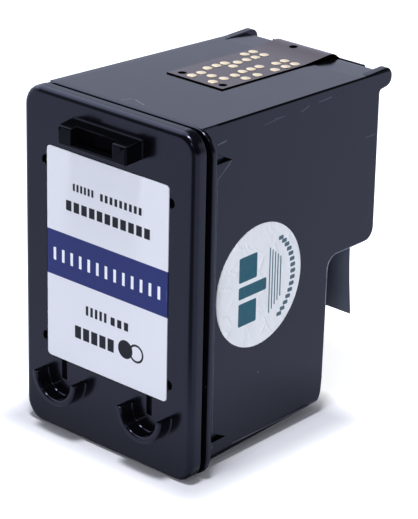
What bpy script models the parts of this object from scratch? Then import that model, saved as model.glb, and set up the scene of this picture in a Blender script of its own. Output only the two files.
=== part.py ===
# Inkjet ink cartridge: a lidded ink body with a printhead on its far end.
#
# Every mesh is drawn in the lid's frame: x across the cartridge, y backwards from
# the lid's front face, z up from the lid's bottom edge. The empty that carries the
# pieces moves them so that the origin is the centre of the bottom of the whole part.
# Sizes are in metres.

import math

import bmesh
import bpy
from mathutils import Matrix, Vector

# Clearances
CLEARANCE = 0.0003
ADHESIVE = 0.0001

# Lid plate
LID_WIDTH = 0.0340
LID_HEIGHT = 0.05364
LID_THICKNESS = 0.00225
LID_CORNER_RADIUS = 0.0033
LID_EDGE_RADIUS = 0.0010

# Groove between the lid plate and the body flange
GROOVE_WIDTH = 0.00095
GROOVE_DEPTH = 0.0016

# Plug of the lid that seats in the mouth of the body
PLUG_LENGTH = 0.0040
PLUG_WALL = 0.0012

# Body flange
FLANGE_THICKNESS = 0.00095
FLANGE_OVERHANG = 0.0003
FLANGE_CORNER_RADIUS = 0.0036
FLANGE_EDGE = 0.00015

# Body: its sides start this far inside the lid's edges
BODY_INSET = 0.001985
BODY_BOTTOM = 0.00067
BODY_TOP_DROP = 0.0002
BODY_DEPTH = 0.03976
LOWER_DEPTH = 0.0284
SNOUT_HEIGHT = 0.0255
WALL = 0.0015
SIDE_DRAFT = 0.0195
LEVEL_DRAFT = 0.0303
BACK_LEAN = 0.02
SNOUT_INNER_RADIUS = 0.0020
SNOUT_OUTER_RADIUS = 0.0020
LOWER_BACK_RADIUS = 0.0010
BOTTOM_EDGE_RADIUS = 0.0012
SIDE_EDGE_RADIUS = 0.0003
CHAMBER_CORNER_RADIUS = 0.0018

# Lip over which the circuit is folded, and the ears at its ends
LIP_CREASE = 0.0048
LIP_RADIUS = 0.00145
LIP_REACH = 0.0019
LIP_STEP = 0.0001
LIP_DROP = 0.00165
EAR_WIDTH = 0.0015
EAR_REACH = 0.0029
EAR_RUN = 0.0032
EAR_RISE = 0.0004
EAR_THICKNESS = 0.00285
EAR_END_FLAT = 0.00006
EAR_ROOT_DROP = 0.0004
EAR_ROOT_RADIUS = 0.0005
EAR_RUN_RADIUS = 0.0120

# Triangular snap pockets in the sides, behind the flange, measured to their flat bottoms
POCKET_DEPTH = 0.0008
POCKET_LENGTH = 0.0056
POCKET_RISE = 0.0028
POCKET_BELOW_TOP = 0.00604
POCKET_ABOVE_BOTTOM = 0.0034

# Latch block on the lid
LATCH_WIDTH = 0.0138
LATCH_PROTRUSION = 0.0032
LATCH_HEIGHT = 0.00285
LATCH_TOP_DROP = 0.00299
LATCH_DRAFT = 0.0002
LATCH_DIP = 0.00035
LATCH_NOTCH_WIDTH = 0.0081
LATCH_NOTCH_DEPTH = 0.0012
LATCH_NOTCH_UNDERCUT = 0.0009
LATCH_NOTCH_LEDGE = 0.0005
LATCH_EDGE = 0.00015

# Half-round cups on the lid
CUP_OFFSET = 0.00868
CUP_HEIGHT = 0.00965
CUP_RADIUS = 0.00444
CUP_WALL = 0.0010
CUP_PROTRUSION = 0.0024
CUP_EDGE = 0.0002

# Fillet where the latch block and the cups meet the lid
FOOT_RADIUS = 0.00025
FOOT_STEPS = 3

# Vent grooves, fill port and locating dimples in the lid's face
VENT_WIDTH = 0.0010
VENT_DEPTH = 0.0006
VENT_BOTTOM = 0.0088
VENT_COVERED = 0.01296
PORT_RADIUS = 0.0020
FILL_PLUG_HEAD_RADIUS = 0.0028
FILL_PLUG_HEAD_DEPTH = 0.0005
DIMPLE_RADIUS = 0.00075
DIMPLE_DEPTH = 0.0008
DIMPLE_PAST_LABEL = 0.00033
DIMPLE_ABOVE_LABEL_BOTTOM = 0.00281
DIMPLE_BELOW_LABEL_TOP = 0.00247

# Label on the lid
LABEL_WIDTH = 0.02414
LABEL_BOTTOM = 0.01204
LABEL_TOP_DROP = 0.00837
LABEL_THICKNESS = 0.00015
LABEL_CORNER_RADIUS = 0.0006
LABEL_SEAT_DEPTH = 0.0002

# Round sticker on the side
STICKER_RADIUS = 0.0095
STICKER_DEPTH = 0.01662
STICKER_HEIGHT = 0.02616
STICKER_THICKNESS = 0.00015
STICKER_SEAT_DEPTH = 0.0002

# Ink feed: filter port, standpipe and slot behind the printhead
PORT_WIDTH = 0.0150
PORT_TALL = 0.0110
PORT_CORNER_RADIUS = 0.0015
FEED_SLOT_WIDTH = 0.0012
FEED_SLOT_LENGTH = 0.0110
FILTER_BORDER = 0.0012
FILTER_THICKNESS = 0.00025

# Printhead
DIE_WIDTH = 0.0036
DIE_LENGTH = 0.0130
DIE_THICKNESS = 0.00065
DIE_POCKET_DEPTH = 0.0008
DIE_POCKET_BORDER = 0.0012
NOZZLE_PLATE_THICKNESS = 0.0001
BEAD_RISE = 0.0002

# Folded circuit: it lies flat on the top, arches before the lip and turns down over it
CIRCUIT_WIDTH = 0.0110
CIRCUIT_OFFSET = -0.00075
CIRCUIT_ON_TOP = 0.02501
CIRCUIT_FLAT_LENGTH = 0.0186
CIRCUIT_THICKNESS = 0.00015
CIRCUIT_ARCH = 0.00045
CIRCUIT_ABOVE_SNOUT = 0.0030
CIRCUIT_HOLE_RADIUS = 0.00045

# Holes and contact pads of the circuit, from its middle and its front edge. A column of
# pads stands at each distance across the circuit.
CIRCUIT_HOLES = ((-0.00385, 0.0016), (0.00417, 0.0016), (-0.00108, 0.0236))
PAD_RADIUS = 0.00075
PAD_THICKNESS = 0.00015
PAD_EDGE = 0.00005
PAD_COLUMNS = {
    -0.00410: (0.01580, 0.01775),
    -0.00291: (0.00610, 0.00810, 0.01000),
    -0.00195: (0.00165, 0.00370, 0.01180, 0.01380, 0.01580, 0.01780),
    -0.00108: (0.00976,),
    0.00011: (0.00370,),
    0.00165: (0.00880, 0.01070, 0.01260),
    0.00218: (0.00165, 0.00410, 0.00650, 0.01580, 0.01775),
    0.00420: (0.00660, 0.00925, 0.01320, 0.01565, 0.01775),
}

# Angles, above the level, over which the circuit and the tape follow the round of the lip
WRAP_END = -35
CIRCUIT_WRAP_START = 60
TAPE_WRAP_START = 30
WRAP_STEP = 15

# Protective tape over the nozzles, which hangs below the snout
TAPE_WIDTH = 0.0184
TAPE_THICKNESS = 0.0001
TAPE_BELOW_SNOUT = 0.0147
TAPE_SWING = 0.0009

# Widths and positions along the cartridge that follow from the sizes above
BODY_WIDTH = LID_WIDTH - 2 * BODY_INSET
FLANGE_FRONT = LID_THICKNESS + GROOVE_WIDTH
FLANGE_BACK = FLANGE_FRONT + FLANGE_THICKNESS
PLUG_START = FLANGE_FRONT - CLEARANCE
NOZZLE_FACE = FLANGE_BACK + BODY_DEPTH
LOWER_BACK = FLANGE_BACK + LOWER_DEPTH
CHAMBER_END = LOWER_BACK - WALL
EAR_TIP = NOZZLE_FACE + EAR_REACH
LIP_CENTRE = NOZZLE_FACE + LIP_REACH - LIP_RADIUS
TOTAL_DEPTH = LATCH_PROTRUSION + EAR_TIP
FACE_POSITION = LATCH_PROTRUSION - TOTAL_DEPTH / 2
CIRCUIT_FRONT = NOZZLE_FACE - CIRCUIT_ON_TOP

# Heights that follow from the sizes above
LABEL_TOP = LID_HEIGHT - LABEL_TOP_DROP
FILL_PORT_HEIGHT = (LABEL_BOTTOM + LABEL_TOP) / 2
LATCH_BOTTOM = LID_HEIGHT - LATCH_TOP_DROP - LATCH_HEIGHT
SNOUT_TOP = LID_HEIGHT - BODY_TOP_DROP - LEVEL_DRAFT * BODY_DEPTH
PRINTHEAD_HEIGHT = (SNOUT_HEIGHT + SNOUT_TOP) / 2
LIP_HEIGHT = LID_HEIGHT - BODY_TOP_DROP - LEVEL_DRAFT * (LIP_CENTRE - FLANGE_BACK) - LIP_DROP

# Segments of each rounded corner, how near an edge lies to where it is looked for, and
# how near two points of one corner lie
CORNER_STEPS = 6
EDGE_MATCH = 0.00005
WELD = 0.000001


def body_half_width(depth):
    return BODY_WIDTH / 2 - SIDE_DRAFT * (depth - FLANGE_BACK)


def body_top(depth):
    return LID_HEIGHT - BODY_TOP_DROP - LEVEL_DRAFT * (depth - FLANGE_BACK)


def body_bottom(depth):
    return BODY_BOTTOM + LEVEL_DRAFT * (depth - FLANGE_BACK)


def colour_from_hex(text):
    """Linear RGBA of an sRGB colour such as 3a3d48."""
    values = [int(text[i : i + 2], 16) / 255 for i in (0, 2, 4)]
    linear = [v / 12.92 if v <= 0.04045 else ((v + 0.055) / 1.055) ** 2.4 for v in values]
    return (*linear, 1.0)


def make_material(name, colour, roughness, metallic=0.0):
    material = bpy.data.materials.new(name)
    material.use_nodes = True
    shader = material.node_tree.nodes["Principled BSDF"]
    shader.inputs["Base Color"].default_value = colour_from_hex(colour)
    shader.inputs["Roughness"].default_value = roughness
    shader.inputs["Metallic"].default_value = metallic
    material.diffuse_color = colour_from_hex(colour)
    return material


def add_object(name, shape, material, location=(0, 0, 0), rotation=(0, 0, 0)):
    """An object that holds the bmesh, parented to the cartridge's empty."""
    bmesh.ops.recalc_face_normals(shape, faces=shape.faces)
    mesh = bpy.data.meshes.new(name)
    shape.to_mesh(mesh)
    shape.free()
    mesh.shade_smooth()
    mesh.set_sharp_from_angle(angle=math.radians(35))
    mesh.materials.append(material)
    obj = bpy.data.objects.new(name, mesh)
    obj.location = location
    obj.rotation_euler = rotation
    obj.parent = cartridge
    bpy.context.scene.collection.objects.link(obj)
    return obj


def add_cutter(name, shape, location=(0, 0, 0), rotation=(0, 0, 0)):
    cutter = add_object(name, shape, cutter_material, location, rotation)
    cutter.hide_render = True
    cutter.display_type = "WIRE"
    return cutter


def combine(target, other, operation="DIFFERENCE"):
    modifier = target.modifiers.new(other.name, "BOOLEAN")
    modifier.operation = operation
    modifier.solver = "EXACT"
    modifier.object = other


def rounded_rectangle(left, right, low, high, radius, depth):
    """Points of a rounded rectangle in the plane y = depth."""
    centres = (
        (right - radius, high - radius),
        (left + radius, high - radius),
        (left + radius, low + radius),
        (right - radius, low + radius),
    )
    points = []
    for quarter, (x, z) in enumerate(centres):
        for step in range(CORNER_STEPS + 1):
            angle = math.pi / 2 * (quarter + step / CORNER_STEPS)
            points.append(
                Vector((x + radius * math.cos(angle), depth, z + radius * math.sin(angle)))
            )
    return points


def loft(rings):
    """A closed solid through rings of the same number of points."""
    shape = bmesh.new()
    loops = [[shape.verts.new(point) for point in ring] for ring in rings]
    for first, second in zip(loops, loops[1:]):
        for i, vertex in enumerate(first):
            following = (i + 1) % len(first)
            shape.faces.new((vertex, first[following], second[following], second[i]))
    shape.faces.new(loops[0])
    shape.faces.new(loops[-1])
    return shape


def rounded_plate(left, right, low, high, radius, front, back):
    return loft([rounded_rectangle(left, right, low, high, radius, y) for y in (front, back)])


def fillet_outline(corners):
    """The (y, z) outline through corners of (y, z, radius), each rounded by its radius."""
    points = []
    for i, (y, z, radius) in enumerate(corners):
        corner = Vector((y, z))
        before = Vector(corners[i - 1][:2]) - corner
        after = Vector(corners[(i + 1) % len(corners)][:2]) - corner
        if radius == 0:
            points.append(corner)
            continue
        half_angle = before.angle(after) / 2
        reach = radius / math.tan(half_angle)
        start = corner + before.normalized() * reach
        end = corner + after.normalized() * reach
        inward = (before.normalized() + after.normalized()).normalized()
        centre = corner + inward * (radius / math.sin(half_angle))
        turn = math.pi - 2 * half_angle
        steps = max(2, round(turn / math.radians(18)))
        for step in range(steps + 1):
            share = math.sin(turn * (1 - step / steps)), math.sin(turn * step / steps)
            arm = ((start - centre) * share[0] + (end - centre) * share[1]) / math.sin(turn)
            points.append(centre + arm)
    return points


def extruded_side(outline, half_width):
    """Extrudes a (y, z) outline across x, to half_width(y) on each side."""
    shape = bmesh.new()
    near = [shape.verts.new((half_width(y), y, z)) for y, z in outline]
    far = [shape.verts.new((-half_width(y), y, z)) for y, z in outline]
    for i, vertex in enumerate(near):
        following = (i + 1) % len(near)
        shape.faces.new((vertex, near[following], far[following], far[i]))
    shape.faces.new(near)
    shape.faces.new(far)
    bmesh.ops.recalc_face_normals(shape, faces=shape.faces)
    return shape


def disc(radius, depth, segments=32, edge=0.0):
    """A disc from z = 0 up to depth, with its top edge chamfered by edge."""
    shape = bmesh.new()
    bmesh.ops.create_cone(
        shape,
        cap_ends=True,
        segments=segments,
        radius1=radius,
        radius2=radius,
        depth=depth,
        matrix=Matrix.Translation((0, 0, depth / 2)),
    )
    if edge:
        top = [e for e in shape.edges if all(v.co.z > depth / 2 for v in e.verts)]
        bmesh.ops.bevel(shape, geom=top, offset=edge, segments=1, profile=0.5, affect="EDGES")
    return shape


def smooth_path(points, steps=4):
    """Points of a smooth (y, z) curve through the given ones."""
    points = [Vector(point) for point in points]
    ends = [2 * points[0] - points[1], *points, 2 * points[-1] - points[-2]]
    path = []
    for before, start, end, after in zip(ends, ends[1:], ends[2:], ends[3:]):
        for step in range(steps):
            t = step / steps
            path.append(
                0.5
                * (
                    2 * start
                    + (end - before) * t
                    + (2 * before - 5 * start + 4 * end - after) * t**2
                    + (3 * start - before - 3 * end + after) * t**3
                )
            )
    path.append(points[-1])
    return path


def ribbon(path, thickness, left, right):
    """A strip along a (y, z) path, which is its inner face, from x = left to x = right."""
    outer = []
    for i, point in enumerate(path):
        along = path[min(i + 1, len(path) - 1)] - path[max(i - 1, 0)]
        outer.append(point + Vector((-along.y, along.x)).normalized() * thickness)
    outline = path + outer[::-1]
    shape = bmesh.new()
    sides = [[shape.verts.new((x, y, z)) for y, z in outline] for x in (left, right)]
    count = len(path)
    for i in range(len(outline)):
        following = (i + 1) % len(outline)
        shape.faces.new((sides[0][i], sides[0][following], sides[1][following], sides[1][i]))
    for side in sides:
        for i in range(count - 1):
            shape.faces.new((side[i], side[i + 1], side[-i - 2], side[-i - 1]))
    return shape


for old in list(bpy.data.objects):
    bpy.data.objects.remove(old, do_unlink=True)

cartridge = bpy.data.objects.new("cartridge", None)
cartridge.location = (0, FACE_POSITION, 0)
bpy.context.scene.collection.objects.link(cartridge)

cutter_material = make_material("cutter", "ff8800", 0.5)
body_plastic = make_material("body_plastic", "3a3d48", 0.32)
lid_plastic = make_material("lid_plastic", "2f323b", 0.30)
foam = make_material("foam", "24262c", 0.95)
steel_mesh = make_material("steel_mesh", "9a9ca0", 0.45, 1.0)
polyimide = make_material("polyimide", "6f6877", 0.35)
gold = make_material("gold", "f5dcae", 0.30, 1.0)
silicon = make_material("silicon", "2b2f38", 0.20)
nozzle_foil = make_material("nozzle_foil", "b08a4a", 0.35, 1.0)
epoxy = make_material("epoxy", "15161a", 0.35)
paper_label = make_material("paper_label", "d8dbe8", 0.45)
paper_sticker = make_material("paper_sticker", "dfe3ec", 0.50)
tape_film = make_material("tape_film", "30333c", 0.25)
rubber = make_material("rubber", "1c1d20", 0.60)


def bevel_where(shape, radius, segments, wanted):
    """Rounds the edges that wanted(edge) picks."""
    bmesh.ops.bevel(
        shape,
        geom=[edge for edge in shape.edges if wanted(edge)],
        offset=radius,
        segments=segments,
        profile=0.5,
        affect="EDGES",
    )


def is_sharp(edge):
    return edge.calc_face_angle(0) > math.radians(60)


def on_one_side(edge):
    return edge.verts[0].co.x * edge.verts[1].co.x > 0


def is_bottom_side_edge(edge):
    """The long edge of the floor, from the flange to the lower back wall."""
    ends = [vertex.co for vertex in edge.verts]
    return on_one_side(edge) and all(end.z <= body_bottom(end.y) + EDGE_MATCH for end in ends)


def is_lower_back_edge(edge):
    """The edge round the end of the floor, with the two curves that lead into it."""
    ends = [vertex.co for vertex in edge.verts]
    return is_sharp(edge) and all(
        LOWER_BACK - EDGE_MATCH <= end.y <= LOWER_BACK + BACK_LEAN * end.z + EDGE_MATCH
        and end.z < body_bottom(LOWER_BACK) + BOTTOM_EDGE_RADIUS + EDGE_MATCH
        for end in ends
    )


def is_side_edge(edge):
    return is_sharp(edge) and on_one_side(edge) and edge.verts[0].co.y > FLANGE_BACK


# Body shell: an L-shaped side outline, drafted on every side, whose upper part runs on
# as the snout that carries the printhead
def make_body_shell():
    start = FLANGE_FRONT + CLEARANCE
    lean = BACK_LEAN * (SNOUT_HEIGHT - body_bottom(LOWER_BACK))
    ear_start = EAR_TIP - EAR_REACH - EAR_RUN
    ear_top = body_top(EAR_TIP) + EAR_RISE
    ear_bottom = ear_top - EAR_THICKNESS
    ear_radius = (EAR_THICKNESS - EAR_END_FLAT) / 2
    outline = fillet_outline(
        (
            (start, body_bottom(start), 0),
            (LOWER_BACK, body_bottom(LOWER_BACK), 0),
            (LOWER_BACK + lean, SNOUT_HEIGHT, SNOUT_INNER_RADIUS),
            (NOZZLE_FACE, SNOUT_HEIGHT, SNOUT_OUTER_RADIUS),
            (NOZZLE_FACE, ear_bottom - EAR_ROOT_DROP, EAR_ROOT_RADIUS),
            (EAR_TIP, ear_bottom, ear_radius),
            (EAR_TIP, ear_top, ear_radius),
            (ear_start, body_top(ear_start), EAR_RUN_RADIUS),
            (start, body_top(start), 0),
        )
    )
    shape = extruded_side(outline, body_half_width)
    bevel_where(shape, BOTTOM_EDGE_RADIUS, 3, is_bottom_side_edge)
    bevel_where(shape, LOWER_BACK_RADIUS, 3, is_lower_back_edge)
    bevel_where(shape, SIDE_EDGE_RADIUS, 2, is_side_edge)
    body = add_object("body_shell", shape, body_plastic)

    half = LID_WIDTH / 2 + FLANGE_OVERHANG
    top = body_top(FLANGE_FRONT)
    rings = [
        rounded_rectangle(
            inset - half, half - inset, inset, top - inset, FLANGE_CORNER_RADIUS - inset, depth
        )
        for depth, inset in (
            (FLANGE_FRONT, FLANGE_EDGE),
            (FLANGE_FRONT + FLANGE_EDGE, 0),
            (FLANGE_BACK - FLANGE_EDGE, 0),
            (FLANGE_BACK, FLANGE_EDGE),
        )
    ]
    combine(body, add_cutter("body_flange", loft(rings)), "UNION")

    combine(body, add_cutter("ink_chamber", chamber(PLUG_START, CHAMBER_END)))
    standpipe_front = CHAMBER_END + WALL
    standpipe_back = NOZZLE_FACE - WALL
    combine(
        body,
        add_cutter("standpipe", chamber(standpipe_front, standpipe_back, SNOUT_HEIGHT + WALL)),
    )
    combine(
        body,
        add_cutter(
            "filter_port",
            rounded_plate(
                -PORT_WIDTH / 2,
                PORT_WIDTH / 2,
                PRINTHEAD_HEIGHT - PORT_TALL / 2,
                PRINTHEAD_HEIGHT + PORT_TALL / 2,
                PORT_CORNER_RADIUS,
                CHAMBER_END - WALL / 2,
                standpipe_front + WALL / 2,
            ),
        ),
    )
    combine(
        body,
        add_cutter(
            "feed_slot",
            rounded_plate(
                -FEED_SLOT_WIDTH / 2,
                FEED_SLOT_WIDTH / 2,
                PRINTHEAD_HEIGHT - FEED_SLOT_LENGTH / 2,
                PRINTHEAD_HEIGHT + FEED_SLOT_LENGTH / 2,
                FEED_SLOT_WIDTH / 3,
                standpipe_back - WALL / 2,
                NOZZLE_FACE - DIE_POCKET_DEPTH / 2,
            ),
        ),
    )
    combine(
        body,
        add_cutter("die_pocket", printhead_plate(DIE_POCKET_BORDER, NOZZLE_FACE - DIE_POCKET_DEPTH, WALL)),
    )

    # Between the ears the end of the top steps down and slopes to the rounded lip
    crease = NOZZLE_FACE - LIP_CREASE
    lip = [
        Vector((crease, body_top(crease) - LIP_STEP)),
        *lip_wrap(LIP_RADIUS, 90, -75),
        Vector((EAR_TIP + WALL, LIP_HEIGHT - EAR_THICKNESS)),
        Vector((EAR_TIP + WALL, LID_HEIGHT + WALL)),
        Vector((crease, LID_HEIGHT + WALL)),
    ]
    between_ears = body_half_width(NOZZLE_FACE) - EAR_WIDTH
    combine(body, add_cutter("lip_form", extruded_side(lip, lambda depth: between_ears)))

    # Seat of the round sticker, square to the drafted side
    seat = disc(STICKER_RADIUS + ADHESIVE, STICKER_SEAT_DEPTH + WALL, 64)
    combine(body, add_cutter("sticker_seat", seat, *on_side(-STICKER_SEAT_DEPTH)))

    for name, height in (
        ("upper", body_top(FLANGE_BACK) - POCKET_BELOW_TOP),
        ("lower", body_bottom(FLANGE_BACK) + POCKET_ABOVE_BOTTOM),
    ):
        outline = [
            (FLANGE_BACK, height),
            (FLANGE_BACK + POCKET_LENGTH, height),
            (FLANGE_BACK, height + POCKET_RISE),
        ]
        for side in (-1, 1):
            pocket = extruded_side(outline, lambda depth: POCKET_DEPTH)
            place = (side * body_half_width(FLANGE_BACK + POCKET_LENGTH / 2), 0, 0)
            combine(body, add_cutter(f"snap_pocket_{name}_{side}", pocket, place))
    return body


def lip_wrap(radius, first, last):
    """Points (y, z) round the lip's centre, from one angle above the level down to another."""
    steps = round((first - last) / WRAP_STEP)
    points = []
    for step in range(steps + 1):
        angle = math.radians(first + (last - first) * step / steps)
        arm = Vector((math.cos(angle), math.sin(angle)))
        points.append(Vector((LIP_CENTRE, LIP_HEIGHT)) + radius * arm)
    return points


def chamber(front, back, low=None):
    """The hollow inside the walls from front to back, on the floor or above low."""
    rings = []
    for depth in (front, back):
        inner = max(depth, FLANGE_BACK)
        half = body_half_width(inner) - WALL
        floor = body_bottom(inner) + WALL if low is None else low
        ceiling = body_top(inner) - WALL
        rings.append(
            rounded_rectangle(-half, half, floor, ceiling, CHAMBER_CORNER_RADIUS, depth)
        )
    return loft(rings)


def printhead_plate(border, front, thickness):
    """A plate with the printhead's outline and a border round it."""
    half_width = DIE_WIDTH / 2 + border
    half_length = DIE_LENGTH / 2 + border
    return rounded_plate(
        -half_width,
        half_width,
        PRINTHEAD_HEIGHT - half_length,
        PRINTHEAD_HEIGHT + half_length,
        CLEARANCE,
        front,
        front + thickness,
    )


def on_side(offset):
    """Location and rotation of a disc that lies on the right side, offset from it."""
    draft = math.atan(SIDE_DRAFT)
    x = body_half_width(STICKER_DEPTH)
    location = (
        x + offset * math.cos(draft),
        STICKER_DEPTH + offset * math.sin(draft),
        STICKER_HEIGHT,
    )
    return location, (0, math.pi / 2, draft)


# Lid: plate with a rolled front edge, neck of the groove and hollow plug, with the latch
# block and the two half-round cups on its face
def make_lid():
    half = LID_WIDTH / 2
    rings = []
    for step in range(5):
        angle = math.pi / 2 * step / 4
        inset = LID_EDGE_RADIUS * (1 - math.sin(angle))
        rings.append(
            rounded_rectangle(
                inset - half,
                half - inset,
                inset,
                LID_HEIGHT - inset,
                LID_CORNER_RADIUS - inset,
                LID_EDGE_RADIUS * (1 - math.cos(angle)),
            )
        )
    rings.append(rounded_rectangle(-half, half, 0, LID_HEIGHT, LID_CORNER_RADIUS, LID_THICKNESS))
    neck = half - GROOVE_DEPTH
    for depth in (LID_THICKNESS, PLUG_START):
        rings.append(
            rounded_rectangle(
                -neck,
                neck,
                GROOVE_DEPTH,
                LID_HEIGHT - GROOVE_DEPTH,
                LID_CORNER_RADIUS - GROOVE_DEPTH / 2,
                depth,
            )
        )
    plug = body_half_width(FLANGE_BACK + PLUG_LENGTH) - WALL - CLEARANCE
    low = body_bottom(FLANGE_BACK + PLUG_LENGTH) + WALL + CLEARANCE
    high = body_top(FLANGE_BACK + PLUG_LENGTH) - WALL - CLEARANCE
    plug_end = PLUG_START + PLUG_LENGTH
    for depth, inset in (
        (PLUG_START, 0),
        (plug_end, 0),
        (plug_end, PLUG_WALL),
        (PLUG_START, PLUG_WALL),
    ):
        rings.append(
            rounded_rectangle(
                inset - plug,
                plug - inset,
                low + inset,
                high - inset,
                CHAMBER_CORNER_RADIUS - inset / 2,
                depth,
            )
        )
    lid = add_object("lid", loft(rings), lid_plastic)

    combine(lid, add_cutter("latch_block", latch_block()), "UNION")
    # Notch in the block's front, open at the top, whose back wall overhangs its floor
    notch_bottom = LATCH_BOTTOM - LATCH_DIP + LATCH_NOTCH_LEDGE
    notch_top = LATCH_BOTTOM + LATCH_HEIGHT - LATCH_DIP
    back_wall = LATCH_NOTCH_DEPTH - LATCH_PROTRUSION
    overhang = LATCH_NOTCH_UNDERCUT / (notch_top - notch_bottom)
    notch = extruded_side(
        [
            (-LATCH_PROTRUSION - LATCH_NOTCH_DEPTH, notch_bottom),
            (back_wall + LATCH_NOTCH_UNDERCUT, notch_bottom),
            (back_wall - overhang * LATCH_NOTCH_LEDGE, notch_top + LATCH_NOTCH_LEDGE),
            (-LATCH_PROTRUSION - LATCH_NOTCH_DEPTH, notch_top + LATCH_NOTCH_LEDGE),
        ],
        lambda depth: LATCH_NOTCH_WIDTH / 2,
    )
    combine(lid, add_cutter("latch_notch", notch))

    for side in (-1, 1):
        cup = half_cup()
        place = (side * CUP_OFFSET, 0, CUP_HEIGHT)
        combine(lid, add_cutter(f"cup_{side}", cup, place), "UNION")
        vent = rounded_plate(
            side * CUP_OFFSET - VENT_WIDTH / 2,
            side * CUP_OFFSET + VENT_WIDTH / 2,
            VENT_BOTTOM,
            LABEL_BOTTOM + VENT_COVERED,
            VENT_WIDTH / 3,
            -CUP_PROTRUSION / 4,
            VENT_DEPTH,
        )
        combine(lid, add_cutter(f"vent_{side}", vent))
        for name, height in (
            ("lower", LABEL_BOTTOM + DIMPLE_ABOVE_LABEL_BOTTOM),
            ("upper", LABEL_TOP - DIMPLE_BELOW_LABEL_TOP),
        ):
            dimple = disc(DIMPLE_RADIUS, 2 * DIMPLE_DEPTH, 16)
            place = (side * (LABEL_WIDTH / 2 + DIMPLE_PAST_LABEL), DIMPLE_DEPTH, height)
            turn = (math.pi / 2, 0, 0)
            combine(lid, add_cutter(f"dimple_{name}_{side}", dimple, place, turn))

    seat = rounded_plate(
        -LABEL_WIDTH / 2 - ADHESIVE,
        LABEL_WIDTH / 2 + ADHESIVE,
        LABEL_BOTTOM - ADHESIVE,
        LABEL_TOP + ADHESIVE,
        LABEL_CORNER_RADIUS + ADHESIVE,
        -LABEL_SEAT_DEPTH,
        LABEL_SEAT_DEPTH,
    )
    combine(lid, add_cutter("label_seat", seat))
    port_depth = PLUG_START + 2 * WALL
    for name, radius, depth in (
        ("fill_port", PORT_RADIUS, port_depth),
        ("fill_port_head", FILL_PLUG_HEAD_RADIUS + CLEARANCE, head_seat()),
    ):
        bore = disc(radius, depth + WALL, 32)
        combine(lid, add_cutter(name, bore, (0, depth, FILL_PORT_HEIGHT), (math.pi / 2, 0, 0)))
    return lid


def head_seat():
    """Depth of the counterbore that the fill plug's head sits in, from the lid's face."""
    return LABEL_SEAT_DEPTH + CLEARANCE + FILL_PLUG_HEAD_DEPTH + CLEARANCE


def foot_fillet():
    """(depth, spread) pairs of the fillet at the foot of a form that stands on the lid."""
    pairs = []
    for step in range(FOOT_STEPS + 1):
        angle = math.pi / 2 * step / FOOT_STEPS
        depth = -FOOT_RADIUS * (1 - math.cos(angle))
        spread = FOOT_RADIUS * (1 - math.sin(angle))
        pairs.append((depth, spread))
    return pairs


def latch_block():
    """A block on a filleted foot that tapers and dips towards its front."""
    half = LATCH_WIDTH / 2
    eased = LATCH_PROTRUSION - LATCH_EDGE
    levels = [
        (LABEL_SEAT_DEPTH, FOOT_RADIUS),
        *foot_fillet(),
        (-eased, 0),
        (-LATCH_PROTRUSION, -LATCH_EDGE),
    ]
    rings = []
    for depth, spread in levels:
        share = max(0, -depth / LATCH_PROTRUSION)
        reach = half + spread - LATCH_DRAFT * share
        low = LATCH_BOTTOM - spread - LATCH_DIP * share
        high = LATCH_BOTTOM + LATCH_HEIGHT + spread - LATCH_DIP * share
        radius = LATCH_EDGE + max(spread, 0)
        rings.append(rounded_rectangle(-reach, reach, low, high, radius, depth))
    return loft(rings)


def half_cup():
    """Half a ring on a filleted foot, open upwards, with its front edges eased."""
    inner = CUP_RADIUS - CUP_WALL
    foot = foot_fillet()
    shape = bmesh.new()
    section = [
        shape.verts.new((radius, y, 0))
        for radius, y in (
            (CUP_RADIUS + FOOT_RADIUS, LABEL_SEAT_DEPTH),
            *((CUP_RADIUS + spread, y) for y, spread in foot),
            (CUP_RADIUS, CUP_EDGE - CUP_PROTRUSION),
            (CUP_RADIUS - CUP_EDGE, -CUP_PROTRUSION),
            (inner + CUP_EDGE, -CUP_PROTRUSION),
            (inner, CUP_EDGE - CUP_PROTRUSION),
            *((inner - spread, y) for y, spread in reversed(foot)),
            (inner - FOOT_RADIUS, LABEL_SEAT_DEPTH),
        )
    ]
    face = shape.faces.new(section)
    bmesh.ops.spin(
        shape,
        geom=[face],
        cent=(0, 0, 0),
        axis=(0, 1, 0),
        angle=math.pi,
        steps=20,
        use_duplicate=False,
    )
    return shape


def lofted_block(front, back, gap):
    """A block that fills the ink chamber with a gap round it."""
    rings = []
    for depth in (front, back):
        half = body_half_width(depth) - WALL - gap
        rings.append(
            rounded_rectangle(
                -half,
                half,
                body_bottom(depth) + WALL + gap,
                body_top(depth) - WALL - gap,
                CHAMBER_CORNER_RADIUS,
                depth,
            )
        )
    return loft(rings)


# Circuit path: flat on the top, arched before the lip, over the lip and down the face
def circuit_path():
    reach = LIP_RADIUS + CLEARANCE
    face = NOZZLE_FACE + ADHESIVE
    arch_start = CIRCUIT_FRONT + CIRCUIT_FLAT_LENGTH

    def on_top(depth, rise):
        return Vector((depth, body_top(depth) + ADHESIVE + rise))

    return [
        on_top(CIRCUIT_FRONT, 0),
        *smooth_path(
            [
                on_top(arch_start, 0),
                on_top((arch_start + NOZZLE_FACE) / 2, CIRCUIT_ARCH / 2),
                on_top(NOZZLE_FACE, CIRCUIT_ARCH),
                *lip_wrap(reach, CIRCUIT_WRAP_START, WRAP_END),
                Vector((face, LIP_HEIGHT - 2 * reach)),
            ]
        ),
        Vector((face, SNOUT_HEIGHT + CIRCUIT_ABOVE_SNOUT)),
    ]


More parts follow.
